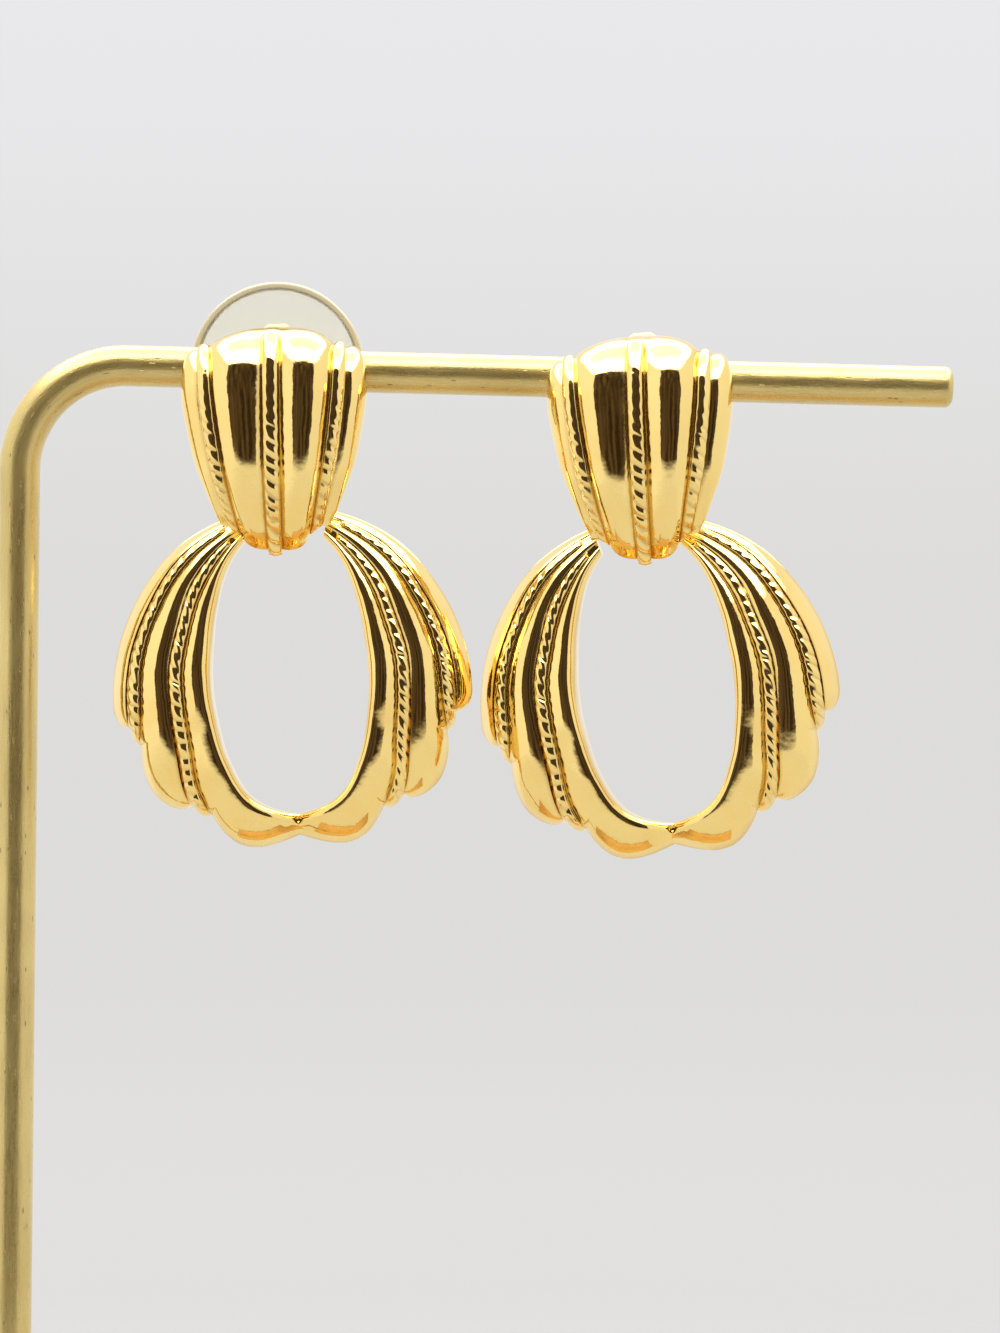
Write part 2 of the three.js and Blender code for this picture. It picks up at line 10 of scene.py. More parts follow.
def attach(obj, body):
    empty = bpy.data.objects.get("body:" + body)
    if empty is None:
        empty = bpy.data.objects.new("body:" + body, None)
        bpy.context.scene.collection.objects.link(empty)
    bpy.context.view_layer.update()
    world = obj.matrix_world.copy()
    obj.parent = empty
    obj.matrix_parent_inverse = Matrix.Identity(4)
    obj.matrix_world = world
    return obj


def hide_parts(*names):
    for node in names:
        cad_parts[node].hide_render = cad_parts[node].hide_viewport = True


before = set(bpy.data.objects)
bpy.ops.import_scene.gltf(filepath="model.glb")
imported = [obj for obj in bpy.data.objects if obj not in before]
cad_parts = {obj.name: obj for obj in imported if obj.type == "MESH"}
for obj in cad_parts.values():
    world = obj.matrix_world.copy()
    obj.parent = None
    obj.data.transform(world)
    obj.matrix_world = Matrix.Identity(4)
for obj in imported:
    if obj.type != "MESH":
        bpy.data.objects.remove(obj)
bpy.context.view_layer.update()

MM = 0.001  # metres in a millimetre

# ---------------------------------------------------------------- sizes, in mm and degrees

GAP = 0.3
BASE = {"thickness": 5, "socket": 3.4}
ROD = {
    "x": -34, "radius": 1.5, "height": 100, "reach": 68,
    "bend": 7.7, "droop": 0.9, "chamfer": 0.55, "sides": 64,
}

# x is along the bar from the rod's upright. yaw and lean turn the whole earring, and twist turns
# only its stud. slide and tilt are how the drop hangs in the play of its hinge.
EARRINGS = [
    {
        "side": "left", "x": 18.6, "yaw": -0.5, "lean": 2.8, "twist": 1.3,
        "slide": 0.2, "tilt": 0.8, "disc": True,
    },
    {
        "side": "right", "x": 45.4, "yaw": -6.5, "lean": 4.5, "twist": 1.8,
        "slide": -0.8, "tilt": 2.4, "disc": False,
    },
]


def columns(names, rows):
    """A table as one array for each named column."""
    return dict(zip(names.split(), np.array(rows, dtype=float).T))


# The stud's dome from top to bottom: height, half width, depth of its crown and of its rim, how far
# the sides are lifted over the middle, and the angle across at which the side ropes lie.
STUD = columns("z half crown rim lift rope", [
    (3.0, 5.55, 0.35, 0, -1.95, 58),
    (2.85, 5.75, 1.5, 0, -1.8, 57),
    (2.4, 6.0, 2.75, 0, -1.5, 55),
    (1.5, 6.2, 3.85, 0, -1.15, 52),
    (0.15, 6.35, 4.6, 0, -0.75, 49.5),
    (-1.6, 6.4, 4.95, 0, -0.4, 48),
    (-3.6, 6.2, 5.05, 0, 0, 47.5),
    (-5.8, 5.85, 4.95, 0, 0.4, 47.5),
    (-8.0, 5.4, 4.55, 0.3, 0.9, 48),
    (-10.1, 4.8, 3.85, 0.9, 1.5, 49),
    (-12.1, 4.2, 2.75, 1.4, 2.05, 50),
    (-13.35, 3.8, 1.6, 1.4, 2.25, 50),
])
STUD_LAST = len(STUD["z"]) - 1  # its lowest row
STUD_FLAT = 3.0  # exponent of the dome's section: 2 is a half ellipse, and more is flatter in front
STUD_SIDE_LIFT = 1.4  # exponent of the lift towards the sides
STUD_SCALE_MIDDLE = -5  # the height that the hollow is drawn in towards
STUD_LOBES = [0.4, 0.5, 0.75, 0.6]  # how far each stands out of the dome
STUD_FADE = {"least": 0.4, "top": 4, "end": 0.7, "bottom": 1.2}
STUD_ROPES = [
    {"side": -1, "width": 1.1, "top": 1.6, "tip": 0.1},
    {"side": 0, "width": 1.3, "top": 2.3, "tip": 0.35},
    {"side": 1, "width": 1.1, "top": 1.6, "tip": 0.1},
]
# The rows over which a stud rope swells from its smooth top, grows narrower and sinks, and by how much.
STUD_ROPE_SWELL = {"row": 4, "over": 5, "least": 0.1}
STUD_ROPE_NARROW = {"row": 7, "over": 4, "share": 0.2}
STUD_ROPE_SINK = {"row": 6, "over": 5, "share": 0.3}
STUD_WALL = 0.75
STUD_HOLLOW = {"half": 6.7, "depth": 5, "height": 8}  # the sizes that the wall is taken off
STUD_TIP_ROWS = 0.8  # the rows at the lower end over which a rope's tip hangs past the rim
STUD_STEPS = {"rows": 340, "lobe": 18, "rope": 12, "inner_rows": 60, "inner_across": 41}
POST = {"radius": 0.4, "root": -4.4, "end": 9.4, "tip": 0.25}
# bar, bore and outer are radii. reach is half the length of the drop's cross bar.
HINGE = {
    "z": -11, "y": -0.1, "bar": 0.45, "bore": 0.8, "outer": 1.15, "edge": 0.08, "length": 2.8,
    "reach": 3.55, "web_wide": 1.6, "web_thick": 0.9, "web_from": -2.8, "web_to": -0.9,
}

# The drop's wings in steps of angle from its top: radii of the edges of their lobes and ropes from
# the opening out, height of the crest, how far the dome leans outwards, and how far a lobe's crest
# shifts across it.
OVAL_Z = -22.8
WING_STEP = 20
WING_START = 15.6
WING = columns("opening inner rope1 middle rope2 outer crest lean shift", [
    (12.4, 12.5, 12.6, 12.7, 12.75, 12.8, 1.4, 5, 0),
    (10.2, 10.85, 11.3, 11.9, 12.35, 12.8, 1.9, 5, 0),
    (7.8, 9.3, 10.2, 11.35, 12.1, 12.85, 2.5, 5, 0.1),
    (6.35, 8.15, 9.1, 10.85, 11.7, 12.75, 3.1, 5, 0.15),
    (5.8, 7.8, 8.8, 10.8, 11.8, 12.9, 3.5, 5, 0.15),
    (5.76, 7.8, 8.85, 11.1, 12.15, 13.2, 3.6, 0, 0.25),
    (6.22, 8.55, 9.75, 12.7, 12.75, 13.3, 3.3, -8, 0.45),
    (7.37, 10.6, 11.7, 13.2, 13.2, 13.3, 2.9, -14, 0.6),
    (8.95, 12.4, 12.4, 13.3, 13.3, 13.3, 2.4, -16, 0.6),
    (9.6, 11.15, 11.2, 11.2, 11.2, 11.2, 1.9, -16, 0.6),
])
# Each lobe or rope across a wing: the angle at which it ends, and over how much its end closes.
# A rope is a band with no bulge.
BANDS = [
    {"to": "inner", "end": 400, "round": 10, "bulge": 0.24, "shift": 1, "steps": 16},
    {"to": "rope1", "end": 146, "round": 7, "bulge": 0, "steps": 12},
    {"to": "middle", "end": 138, "round": 14, "bulge": 0.24, "shift": 0.8, "steps": 16},
    {"to": "rope2", "end": 110, "round": 6, "bulge": 0, "steps": 12},
    {"to": "outer", "end": 103, "round": 8, "bulge": 0.3, "shift": 1, "steps": 12},
]
HOLLOW = {"start": 34, "opens_over": 2, "least": 0.3, "steps": 9}
DROP_BACK = 1.2
DROP_WALL = 0.85
DROP_FLAT = 0.03  # keeps the dome's foot a little over the back, so that its side has a height
DROP_STEPS = {"ropes": 500, "ropes_to": 150, "bottom": 60, "run": 400}
PINCH = {"depth": 0.3, "reach": 6}
DIMPLE = {"in": 0.42, "depth": 0.42, "across": 0.2, "high": 0.2}
EDGE_ROUND = 0.6
RIM_ROUND = {"width": 0.75, "share": 0.8}
# A wing rope's relief, as shares of the full one: it grows down from the top, and then fades.
WING_RELIEF = {"least": 0.6, "gain": 0.4, "from": 40, "over": 60, "loss": 0.45, "late": 95, "fade": 25}

ROPE = {
    "pitch": 0.95, "slant": 0.9, "proud": 0.72, "strand": 0.2, "round": 0.5, "late": 5,
    "uneven": 0.2, "sharp": 1.7, "groove": 2.5, "stud_edge": 0.93, "wing_edge": 0.94,
}
# Two waves along a rope that make its strands uneven: how fast each turns, its share and its shift.
ROPE_WAVES = [(1.9, 1, 0), (4.3, 0.6, 1)]
LOBE_EDGE = 0.2  # the share of a lobe's half width that counts as its groove
CLUTCH = {"height": 7.4, "width": 3.1, "strip": 0.35, "scroll": 0.8, "curl": 174, "hole": 0.7}
DISC = {
    "radius": 6.4, "web": 0.8, "rim": 1.1, "rim_width": 0.4, "hole": 0.75, "raised": 0.2,
    "back_round": 0.25, "front_round": 0.2,
}

# ---------------------------------------------------------------- studio and camera, in metres

FLOOR = {"tint": (0.405, 0.401, 0.393, 1), "fade": (0.09, 0.24), "stain": 0.97, "sunk": 0.0002}
# The light box is measured in shares of its depth to the front. glint and brown are the dark
# opening's brightest streak and its colour.
BOX = {
    "width": 0.9, "ceiling": 1.0, "floor": 0.53, "sill": 0.42, "soft": 0.05,
    "wall_low": 0.9, "wall_high": 1.02, "glow": 0.35, "left": 1.12,
    "dark": 0.032, "glint": 3.5, "brown": (0.7, 0.48),
}
BACKDROP = {
    "low": (0.755, 0.75, 0.738, 1),
    "middle": (0.722, 0.718, 0.706, 1),
    "high": (0.815, 0.808, 0.823, 1),
}
RING = {
    "size": 0.44, "hole": (0.55, 0.28), "dim": 0.32, "height": 0.285, "radiance": 3.7,
    "colour": (1.0, 0.985, 0.95),
}
# The camera is level in front of the object. tall is the height of the view at the bar.
CAMERA = {"x": 0.0012, "away": 0.3, "z": 0.07834, "tall": 0.0973, "roll": 0.6, "sensor": 36}


def sin(degrees):
    """The sine of an angle in degrees."""
    return np.sin(np.radians(degrees))


def cos(degrees):
    """The cosine of an angle in degrees."""
    return np.cos(np.radians(degrees))


def smooth(t):
    """A smooth step from 0 to 1 as t goes from 0 to 1."""
    t = np.clip(t, 0, 1)
    return t * t * (3 - 2 * t)


def between(table, column, row):
    """Smooth values between the rows of a table."""
    values = table[column]
    last = len(values) - 1
    row = np.asarray(row, dtype=float)
    i = np.clip(np.floor(row).astype(int), 0, last - 1)
    t = row - i
    b, c = values[i], values[i + 1]
    a = np.where(i > 0, values[np.maximum(i - 1, 0)], 2 * b - c)
    d = np.where(i + 2 <= last, values[np.minimum(i + 2, last)], 2 * c - b)
    return b + 0.5 * t * (c - a + t * (2 * a - 5 * b + 4 * c - d + t * (3 * (b - c) + d - a)))


# ---------------------------------------------------------------- mesh making

class Skin:
    """Collects grids of points and faces for one mesh, in mm."""

    def __init__(self):
        self.points = []
        self.grooves = []
        self.faces = []

    def grid(self, points, flip=False, wrap=False, groove=None):
        """Quads over an array of points, rows by columns by 3. wrap joins the last column on."""
        rows, cols = points.shape[:2]
        start = len(self.points)
        self.points.extend(points.reshape(-1, 3).tolist())
        self.grooves.extend(np.zeros(rows * cols) if groove is None else groove.reshape(-1))
        spans = cols if wrap else cols - 1
        for r in range(rows - 1):
            for c in range(spans):
                n = (c + 1) % cols
                quad = [start + r * cols + c, start + r * cols + n,
                        start + (r + 1) * cols + n, start + (r + 1) * cols + c]
                self.faces.append(quad[::-1] if flip else quad)

    def cap(self, points, flip=False):
        """One flat face over a ring of points."""
        start = len(self.points)
        self.points.extend(np.asarray(points).tolist())
        self.grooves.extend(np.zeros(len(points)))
        ring = list(range(start, start + len(points)))
        self.faces.append(ring[::-1] if flip else ring)

    def turned(self, profile, centre, axis, sides=40, rim=math.inf):
        """A turned shape from (along, radius) pairs. Points out past the rim count as in a groove."""
        axis = np.array(axis, dtype=float) / np.linalg.norm(axis)
        side = np.cross(axis, (0, 0, 1) if abs(axis[2]) < 0.9 else (1, 0, 0))
        side /= np.linalg.norm(side)
        other = np.cross(axis, side)
        around = np.linspace(0, 360, sides, endpoint=False)
        wheel = cos(around)[:, None] * side + sin(around)[:, None] * other
        rings = [np.array(centre) + along * axis + radius * wheel for along, radius in profile]
        outside = np.array([[float(radius >= rim)] * sides for along, radius in profile])
        self.grid(np.array(rings), wrap=True, groove=outside)

    def mesh(self, name, matrix=None, weld=2e-3, crease=38):
        """The object made of all grids so far, moved by the matrix. Edges past crease are sharp."""
        data = bpy.data.meshes.new(name)
        matrix = matrix or Matrix.Identity(4)
        rows = np.array([list(row) for row in matrix])
        moved = np.array(self.points) @ rows[:3, :3].T + rows[:3, 3]
        data.from_pydata((moved * MM).tolist(), [], self.faces)
        # The groove attribute marks creases and the disc's rim. The gold paints shade into the creases,
        # and the plastic tints its rim.
        data.attributes.new("groove", "FLOAT", "POINT").data.foreach_set("value", self.grooves)
        work = bmesh.new()
        work.from_mesh(data)
        bmesh.ops.remove_doubles(work, verts=work.verts, dist=weld * MM)
        bmesh.ops.dissolve_degenerate(work, edges=work.edges, dist=1e-3 * MM)
        bmesh.ops.recalc_face_normals(work, faces=work.faces)
        work.to_mesh(data)
        work.free()
        data.shade_smooth()
        data.set_sharp_from_angle(angle=math.radians(crease))
        made = bpy.data.objects.new(name, data)
        bpy.context.scene.collection.objects.link(made)
        return made


def shaped(name, matrix, *makers, crease=38):
    """One object from the grids that the makers put on a skin."""
    skin = Skin()
    for make in makers:
        make(skin)
    return skin.mesh(name, matrix, crease=crease)


def bore(radius, start, stop, centre, axis, matrix=None):
    """A plain cylinder to cut a hole with."""
    skin = Skin()
    skin.turned([(start, 0), (start, radius), (stop, radius), (stop, 0)], centre, axis)
    return skin.mesh("bore", matrix)


def cut(target, cutters):
    """Cuts the cutters out of the target mesh and removes them."""
    for cutter in cutters:
        modifier = target.modifiers.new("cut", "BOOLEAN")
        modifier.object = cutter
        modifier.solver = "EXACT"
    evaluated = target.evaluated_get(bpy.context.evaluated_depsgraph_get())
    data = bpy.data.meshes.new_from_object(evaluated)
    target.modifiers.clear()
    target.data = data
    for cutter in cutters:
        bpy.data.objects.remove(cutter, do_unlink=True)


# ---------------------------------------------------------------- ropes

def strand_height(length, total, share, width, relief):
    """A twisted rope's height over its bed and depth in a groove, at a length and a share across."""
    halves = 2 * np.round(total / ROPE["pitch"])
    phase = length / (total / halves) - ROPE["slant"] * share
    waves = sum(part * np.sin(speed * length + shift) for speed, part, shift in ROPE_WAVES)
    phase = phase + ROPE["uneven"] * waves
    crest = np.abs(np.sin(phase * np.pi / 2)) ** ROPE["sharp"]
    from_end = np.minimum(length, total - length) / ROPE["round"]
    closing = np.sqrt(np.clip(1 - np.clip(1 - from_end, 0, 1) ** 2, 0, 1)) * (from_end > 0)
    body = np.sqrt(np.clip(1 - share * share, 0, 1))
    height = width / 2 * body * (ROPE["proud"] + relief * crest) * closing
    groove = np.clip(1 - ROPE["groove"] * crest, 0, 1) * relief / ROPE["strand"]
    return height, np.maximum(groove, 1 - body) * closing


def lobe_groove(share):
    """1 in the groove at a lobe's two edges and 0 over its crest, for a share across from -1 to 1."""
    return np.clip((np.abs(share) - (1 - LOBE_EDGE)) / LOBE_EDGE, 0, 1)


def run_lengths(points):
    """Length along a line of points up to each of them."""
    steps = np.linalg.norm(np.diff(points, axis=0), axis=1)
    return np.concatenate([[0], np.cumsum(steps)])


# ---------------------------------------------------------------- stud

def dome_depth(across):
    """How far the dome's section stands forward, from 1 in the middle to 0 at the sides."""
    return np.clip(1 - np.abs(sin(across)) ** STUD_FLAT, 0, 1) ** (1 / STUD_FLAT)


def stud_point(row, across, shrink=(1, 1, 1)):
    """A point of the dome at a row and an angle across, drawn in by a share for each axis."""
    rim = between(STUD, "rim", row)
    depth = rim + (between(STUD, "crown", row) - rim) * dome_depth(across)
    z = between(STUD, "z", row) + between(STUD, "lift", row) * np.abs(sin(across)) ** STUD_SIDE_LIFT
    return np.stack([
        between(STUD, "half", row) * sin(across) * shrink[0],
        -depth * shrink[1],
        STUD_SCALE_MIDDLE + (z - STUD_SCALE_MIDDLE) * shrink[2],
    ], axis=-1)


def stud_raised(row, across, height):
    """A point at a height over the dome, square to it."""
    side = stud_point(row, np.minimum(across + 1, 90)) - stud_point(row, np.maximum(across - 1, -90))
    down = stud_point(row + 0.02, across) - stud_point(row - 0.02, across)
    out = np.cross(side, down)
    out /= np.linalg.norm(out, axis=-1, keepdims=True)
    return stud_point(row, across) - out * height[..., None]


def grown(row, change):
    """How far a change over some rows has come, from 0 to 1."""
    return smooth((row - change["row"]) / change["over"])


def rope_place(rope, row):
    """The angle across at which a rope lies, and the angle over half its width."""
    at = rope["side"] * between(STUD, "rope", row)
    width = rope["width"] * (1 - STUD_ROPE_NARROW["share"] * grown(row, STUD_ROPE_NARROW))
    narrow = np.degrees(np.arcsin(width / 2 / between(STUD, "half", row)))
    return at, narrow / np.maximum(cos(at), 0.75)


def fading(row):
    """The share of their full relief that the stud's lobes have, which is less near its two ends."""
    least, end = STUD_FADE["least"], STUD_FADE["end"]
    top = smooth(row / STUD_FADE["top"])
    bottom = smooth((STUD_LAST - row) / STUD_FADE["bottom"])
    return least + (1 - least) * np.minimum(top, end + (1 - end) * bottom)


def stud_mesh(skin):
    """The dome: lobes and ropes in front, a smooth hollow behind, and the wall's edges between them."""
    rows = np.linspace(0, STUD_LAST, STUD_STEPS["rows"])
    lines, grooves = [], []
    for lobe in range(4):
        before = STUD_ROPES[lobe - 1] if lobe else None
        after = STUD_ROPES[lobe] if lobe < 3 else None
        start = sum(rope_place(before, rows)) if before else np.full_like(rows, -90)
        stop = np.subtract(*rope_place(after, rows)) if after else np.full_like(rows, 90)
        for s in np.linspace(0, 1, STUD_STEPS["lobe"] + 1):
            rise = STUD_LOBES[lobe] * (1 - (2 * s - 1) ** 2) * fading(rows)
            lines.append(stud_raised(rows, start + (stop - start) * s, rise))
            grooves.append(np.full_like(rows, lobe_groove(2 * s - 1)))
        if after:
            at, spread = rope_place(after, rows)
            from_top = run_lengths(stud_point(rows, at))
            begin = np.interp(after["top"], rows, from_top)
            end = np.interp(STUD_LAST - 0.1, rows, from_top)
            least = STUD_ROPE_SWELL["least"]
            relief = ROPE["strand"] * (least + (1 - least) * grown(rows, STUD_ROPE_SWELL))
            length, total = from_top - begin, end - begin
            for share in np.linspace(-ROPE["stud_edge"], ROPE["stud_edge"], STUD_STEPS["rope"] + 1):
                height, groove = strand_height(length, total, share, after["width"], relief)
                height *= 1 - STUD_ROPE_SINK["share"] * grown(rows, STUD_ROPE_SINK)
                line = stud_raised(rows, at + share * spread, height)
                line[:, 2] -= after["tip"] * smooth((rows - STUD_LAST + STUD_TIP_ROWS) / STUD_TIP_ROWS)
                lines.append(line)
                grooves.append(groove)
    front = np.array(lines).transpose(1, 0, 2)
    skin.grid(front, groove=np.array(grooves).T)
    shrink = [1 - STUD_WALL / STUD_HOLLOW[size] for size in ("half", "depth", "height")]
    inner_rows = np.linspace(0, STUD_LAST, STUD_STEPS["inner_rows"])
    inner_across = np.linspace(-90, 90, STUD_STEPS["inner_across"])
    inner = stud_point(inner_rows[:, None], inner_across[None, :], shrink)
    skin.grid(inner, flip=True)
    for side, column in ((-1, 0), (1, -1)):
        outer_edge = stud_point(inner_rows, np.full_like(inner_rows, 90 * side))
        skin.grid(np.stack([outer_edge, inner[:, column]], axis=1), flip=side > 0)
    for row, end in ((0, 0), (STUD_LAST, -1)):
        outer_line = front[end]
        run = run_lengths(outer_line)
        inner_line = inner[end]
        inner_run = run_lengths(inner_line) / run_lengths(inner_line)[-1] * run[-1]
        matched = np.stack([np.interp(run, inner_run, inner_line[:, k]) for k in range(3)], axis=-1)
        skin.grid(np.stack([outer_line, matched], axis=1), flip=end == 0)


def stud_fittings(skin):
    """The post, the hinge tube and the web that carries it."""
    radius, blunt = POST["radius"], POST["tip"]
    tip = [(POST["end"] - blunt + blunt * sin(a), radius * cos(a) ** 0.6) for a in (0, 30, 60, 80)]
    line = [(POST["root"], 0), (POST["root"], radius)] + tip + [(POST["end"], 0)]
    skin.turned(line, (0, 0, 0), (0, 1, 0), 32)
    half = HINGE["length"] / 2
    outer, bore, edge = HINGE["outer"], HINGE["bore"], HINGE["edge"]
    ring = [
        (-half, bore), (-half, outer - edge), (-half + edge, outer),
        (half - edge, outer), (half, outer - edge), (half, bore), (-half, bore),
    ]
    skin.turned(ring, (0, HINGE["y"], HINGE["z"]), (1, 0, 0), 48)
    wide, thick = HINGE["web_wide"] / 2, HINGE["web_thick"] / 2
    corners = [(-wide, -thick), (wide, -thick), (wide, thick), (-wide, thick)]
    web = [
        [(x, HINGE["y"] + y, HINGE["z"] + z) for x, z in corners]
        for y in (HINGE["web_from"], HINGE["web_to"])
    ]
    skin.grid(np.array(web, dtype=float), wrap=True)


# ---------------------------------------------------------------- drop

def angle_from_top(angle):
    """How far an angle round the drop is from its top, on the nearer side."""
    return np.minimum(angle, 360 - angle)


def wing_edges(angle):
    """The radii of the opening and of the outer edge of each band, at angles round the drop."""
    turned = angle_from_top(angle)
    row = turned / WING_STEP
    edges = [between(WING, "opening", row)]
    before = "opening"
    for band in BANDS:
        past = np.clip((turned - band["end"] + band["round"]) / band["round"], 0, 1)
        width = between(WING, band["to"], row) - between(WING, before, row)
        edges.append(edges[-1] + width * np.sqrt(1 - past ** 2))
        before = band["to"]
    return edges


def wing_point(angle, radius, height):
    """A point over the drop's flat back. height is above the dome, or None on the back itself."""
    turned = angle_from_top(angle)
    row = turned / WING_STEP
    opening, reach = between(WING, "opening", row), between(WING, "outer", row)
    spread = (reach - opening) / (1 + sin(between(WING, "lean", row)))
    s = np.clip((radius - reach + spread) / spread, -1, 1)
    pinch = 1 - PINCH["depth"] * np.exp(-((180 - turned) / PINCH["reach"]) ** 2)
    dome = between(WING, "crest", row) * pinch * np.sqrt(np.maximum(1 - s * s, DROP_FLAT))
    near = np.clip(EDGE_ROUND - (radius - opening), 0, EDGE_ROUND)
    fillet = EDGE_ROUND - np.sqrt(np.clip(EDGE_ROUND ** 2 - near ** 2, 0, None))
    beside = radius * sin(angle) / DIMPLE["across"]
    above = (radius - opening - DIMPLE["in"]) / DIMPLE["high"]
    dimple = DIMPLE["depth"] * np.exp(-beside ** 2 - above ** 2)
    near_rim = np.clip(1 - (wing_edges(angle)[-1] - radius) / RIM_ROUND["width"], 0, 1)
    depth = np.zeros_like(dome)
    if height is not None:
        depth = (dome + height - fillet - dimple) * np.sqrt(1 - RIM_ROUND["share"] * near_rim ** 2)
    return np.stack([radius * sin(angle), DROP_BACK - depth, OVAL_Z + radius * cos(angle)], axis=-1)


def wing_relief(turned):
    """The relief of a wing's ropes at angles from the drop's top."""
    gained = WING_RELIEF["gain"] * smooth((turned - WING_RELIEF["from"]) / WING_RELIEF["over"])
    lost = WING_RELIEF["loss"] * smooth((turned - WING_RELIEF["late"]) / WING_RELIEF["fade"])
    return ROPE["strand"] * (WING_RELIEF["least"] + gained - lost)


def lobe_lines(angles, band, low, width):
    """The lines of points along one lobe of the wings, and their grooves."""
    flat = np.zeros_like(angles)
    shift = np.clip(between(WING, "shift", angle_from_top(angles) / WING_STEP), 0, 1) * band["shift"]
    if band["to"] == "outer":
        shift = flat + band["shift"]
    lines, grooves = [], []
    for share in np.sin(np.linspace(-1, 1, band["steps"] + 1) * np.pi / 2):
        swell = band["bulge"] * (1 - ((share + shift) / (1 + shift)) ** 2) * width
        lines.append(wing_point(angles, low + width * (1 + share) / 2, swell))
        grooves.append(flat + lobe_groove(share))
    return lines, grooves


def rope_lines(angles, band, low, width):
    """The lines of points along one rope of the wings, and their grooves."""
    number = BANDS.index(band)
    stop = band["end"] - band["round"] / 4
    samples = np.linspace(WING_START + ROPE["late"], stop, DROP_STEPS["run"])
    middle = sum(wing_edges(samples)[number:number + 2]) / 2
    run = run_lengths(wing_point(samples, middle, np.zeros_like(samples)))
    length = np.interp(angle_from_top(angles), samples, run, left=-1, right=run[-1] + 1)
    length = np.where(angles > 180, run[-1] - length, length)
    relief = wing_relief(angle_from_top(angles))
    lines, grooves = [], []
    for share in np.linspace(-ROPE["wing_edge"], ROPE["wing_edge"], band["steps"] + 1):
        height, groove = strand_height(length, run[-1], share, width, relief)
        lines.append(wing_point(angles, low + width * (1 + share) / 2, height))
        grooves.append(groove)
    return lines, grooves


def wings_back(angles, front, edges):
    """The drop's flat back with the hollow in it, as lines of points from the opening to the rim."""
    near = edges[0] + DROP_WALL
    far = np.maximum(edges[-1] - DROP_WALL, near + HOLLOW["least"])
    open_share = np.clip((angle_from_top(angles) - HOLLOW["start"]) / HOLLOW["opens_over"], 0, 1)
    back = [front[:, 0], wing_point(angles, near, None)]
    for share in np.linspace(0, 1, HOLLOW["steps"]):
        point = wing_point(angles, near + (far - near) * share, np.zeros_like(angles))
        floor = np.minimum(point[:, 1] + DROP_WALL, DROP_BACK - HOLLOW["least"])
        point[:, 1] = DROP_BACK + (floor - DROP_BACK) * open_share
        back.append(point)
    return back + [wing_point(angles, far, None), front[:, -1]]


def drop_mesh(skin):
    """The two wings round the opening, hollow behind, and the cross bar between their tops."""
    half = np.concatenate([
        np.linspace(WING_START, DROP_STEPS["ropes_to"], DROP_STEPS["ropes"], endpoint=False),
        np.linspace(DROP_STEPS["ropes_to"], 180, DROP_STEPS["bottom"]),
    ])
    angles = np.concatenate([half, (360 - half[:-1])[::-1]])
    edges = wing_edges(angles)
    flat = np.zeros_like(angles)
    lines, grooves = [wing_point(angles, edges[0], None)], [flat]
    for band, low, high in zip(BANDS, edges, edges[1:]):
        make = lobe_lines if band["bulge"] else rope_lines
        more_lines, more_grooves = make(angles, band, low, high - low)
        lines += more_lines
        grooves += more_grooves
    lines.append(wing_point(angles, edges[-1], None))
    grooves.append(flat)
    front = np.array(lines).transpose(1, 0, 2)
    skin.grid(front, groove=np.array(grooves).T)
    back = np.array(wings_back(angles, front, edges)).transpose(1, 0, 2)
    skin.grid(back, flip=True)
    for end in (0, -1):
        skin.cap(np.concatenate([front[end], back[end][-2:0:-1]]))
    reach, bar = HINGE["reach"], HINGE["bar"]
    rounds = [(-reach, 0), (-reach, bar), (reach, bar), (reach, 0)]
    skin.turned(rounds, (0, HINGE["y"], HINGE["z"]), (1, 0, 0), 32)


# ---------------------------------------------------------------- clutch, disc and stand

def clutch_mesh(skin):
    """A butterfly clutch: one strip, rounded at both ends, that curls back into two scrolls."""
    scroll, strip, width = CLUTCH["scroll"], CLUTCH["strip"], CLUTCH["width"]
    reach = CLUTCH["height"] / 2 - scroll - strip / 2
    turns = np.linspace(-90, CLUTCH["curl"], 40)
    curl = np.stack([reach + scroll * cos(turns), scroll + scroll * sin(turns)], axis=-1)
    middle = np.linspace(-reach, reach, 30)[1:-1]
    flat = np.stack([middle, np.zeros_like(middle)], axis=-1)
    line = np.concatenate([(curl * (-1, 1))[::-1], flat, curl])
    along = np.gradient(line, axis=0)
    along /= np.linalg.norm(along, axis=1, keepdims=True)
    out = np.stack([-along[:, 1], along[:, 0]], axis=-1) * strip / 2
    straight = CLUTCH["height"] / 2 - width / 2
    sides = []
    for sign, edge in ((1, -1), (1, 1), (-1, 1), (-1, -1)):
        p = line + sign * out
        beyond = np.clip(np.abs(p[:, 0]) - straight, 0, width / 2 - 0.02)
        half = np.sqrt((width / 2) ** 2 - beyond ** 2)
        sides.append(np.stack([half * edge, strip / 2 + p[:, 1], p[:, 0]], axis=-1))
    ring = np.array(sides).transpose(1, 0, 2)
    skin.grid(ring, wrap=True)
    skin.cap(ring[0])
    skin.cap(ring[-1])


def disc_mesh(skin):
    """The comfort disc: a thin web in a thicker rim. Close rings keep the rim's look off the web."""
    radius, web, rim, hole = DISC["radius"], DISC["web"], DISC["rim"], DISC["hole"]
    back, front = DISC["back_round"], DISC["front_round"]
    inner = radius - DISC["rim_width"]
    quarter = (15, 30, 45, 60, 75, 90)
    profile = [(0, hole), (0, inner - 0.02), (0, inner), (0, radius - back)]
    profile += [(back - back * cos(a), radius - back + back * sin(a)) for a in quarter]
    profile += [(rim - front + front * sin(a), radius - front + front * cos(a)) for a in (0,) + quarter]
    profile += [(rim, inner), (rim - 0.02, inner - 0.02), (web + 0.08, inner - 0.12)]
    profile += [(web, inner - 0.2), (web, hole), (0, hole)]
    skin.turned(profile, (0, 0, 0), (0, 1, 0), 96, inner)


